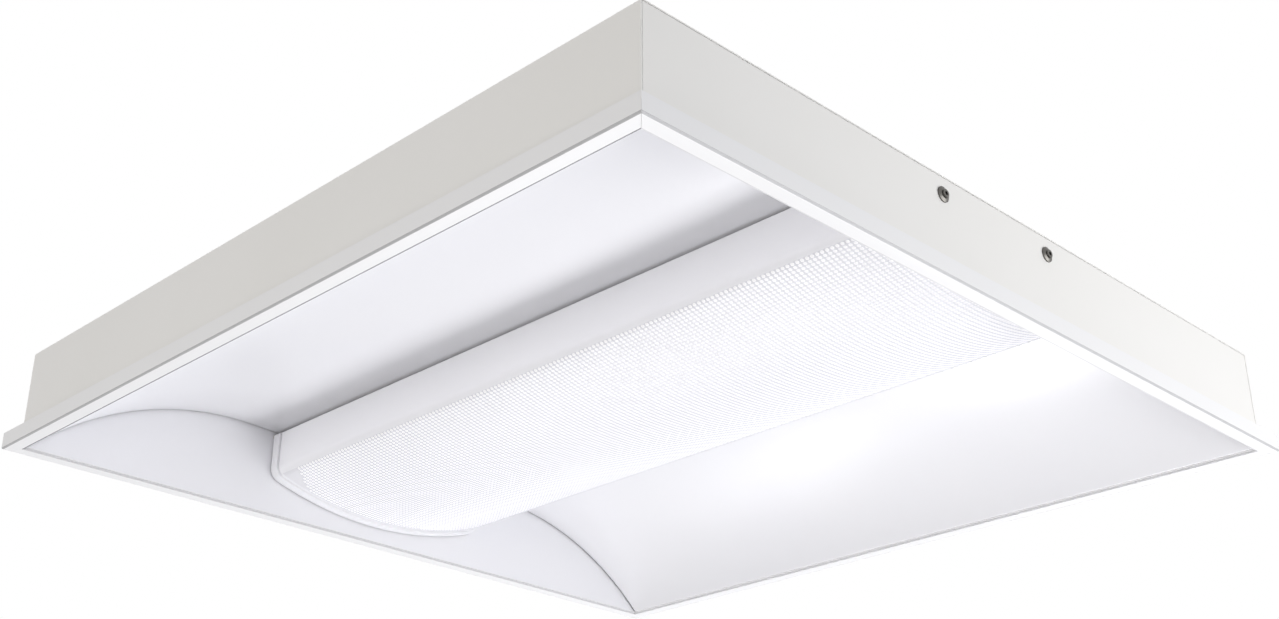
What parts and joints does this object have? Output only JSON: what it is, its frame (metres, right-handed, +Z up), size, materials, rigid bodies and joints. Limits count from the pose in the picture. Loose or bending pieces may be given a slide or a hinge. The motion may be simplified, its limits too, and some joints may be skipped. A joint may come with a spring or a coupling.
{
  "type": "recessed troffer light",
  "caption": "Square recessed ceiling light with white curved side reflectors and a hinged, perforated centre basket, in a shallow folded steel housing.",
  "frame": {"origin": "centre of the underside of the face frame, which is the ceiling line", "axes": "+X along the centre basket, +Y across it away from the basket's hinge, +Z up into the ceiling void"},
  "size_m": [0.597, 0.597, 0.0767],
  "materials": {
    "white_paint": "semi-gloss white powder coat",
    "basket_white": "satin white, finely perforated sheet",
    "zinc_steel": "zinc-plated sheet",
    "rivet_steel": "satin steel",
    "driver_aluminium": "satin",
    "board_white": "white solder mask",
    "led_phosphor": "matte",
    "terminal_white": "semi-gloss",
    "button_orange": "semi-gloss",
    "lead_brown": "satin insulation",
    "lead_green": "satin insulation",
    "lead_red": "satin insulation",
    "brass_tag": "satin",
    "black_nylon": "matte",
    "white_nylon": "matte",
    "opal_sheet": "opal satin",
    "nickel": "nickel plate"
  },
  "bodies": {
    "fixture": {"face_rail_front": "white_paint", "face_rail_right": "white_paint", "face_rail_back": "white_paint", "face_rail_left": "white_paint", "housing_pan": "white_paint", "end_wall_right": "white_paint", "end_wall_left": "white_paint", "side_reflector_back": "white_paint", "side_reflector_front": "white_paint", "end_plate_right": "white_paint", "end_plate_left": "white_paint", "gear_tray": "white_paint", "tray_rivets": "rivet_steel", "led_board_front": "board_white", "led_board_back": "board_white", "led_packages": "led_phosphor", "board_connectors": "terminal_white", "driver_case": "driver_aluminium", "driver_terminals": "terminal_white", "terminal_bracket": "zinc_steel", "terminal_block": "terminal_white", "supply_leads": "lead_brown", "earth_lead": "lead_green", "led_leads": "lead_red", "earth_tag": "brass_tag", "cover_hinge_leaf": "zinc_steel", "cover_hinge_pin": "rivet_steel", "hanger_brackets": "zinc_steel", "hinge_bushes": "white_nylon", "catch_magnets": "nickel", "reflector_rivets": "rivet_steel", "bracket_rivets": "rivet_steel", "board_screws": "rivet_steel", "driver_screws": "rivet_steel", "earth_screw": "brass_tag", "leaf_rivets": "rivet_steel", "hanger_rivets": "rivet_steel"},
    "basket": {"basket_shell": "basket_white", "diffuser_inlay": "opal_sheet", "inlay_clips": "rivet_steel", "end_cap_right": "white_paint", "end_cap_left": "white_paint", "hinge_pins": "rivet_steel", "cap_screws": "rivet_steel"},
    "cover": {"access_cover": "zinc_steel", "cable_bush": "black_nylon", "cover_screw": "rivet_steel"},
    "earth_button": {"release_button_earth": "button_orange"},
    "neutral_button": {"release_button_neutral": "button_orange"},
    "line_button": {"release_button_line": "button_orange"}
  },
  "joints": [
    {"name": "basket_hinge", "type": "hinge", "parent": "fixture", "child": "basket", "pos_m": [0, -0.095, 0.0604], "axis": [-1, 0, 0], "range_deg": [0, 85]},
    {"name": "cover_hinge", "type": "hinge", "parent": "fixture", "child": "cover", "pos_m": [0.15, 0, 0.0711], "axis": [0, -1, 0], "range_deg": [0, 105]},
    {"name": "earth_button_press", "type": "slide", "parent": "fixture", "child": "earth_button", "axis": [0, 0, -1], "range_m": [0, 0.0012], "stiffness_N_per_m": 1000, "springref_m": -0.001},
    {"name": "neutral_button_press", "type": "slide", "parent": "fixture", "child": "neutral_button", "axis": [0, 0, -1], "range_m": [0, 0.0012], "stiffness_N_per_m": 1000, "springref_m": -0.001},
    {"name": "line_button_press", "type": "slide", "parent": "fixture", "child": "line_button", "axis": [0, 0, -1], "range_m": [0, 0.0012], "stiffness_N_per_m": 1000, "springref_m": -0.001}
  ]
}
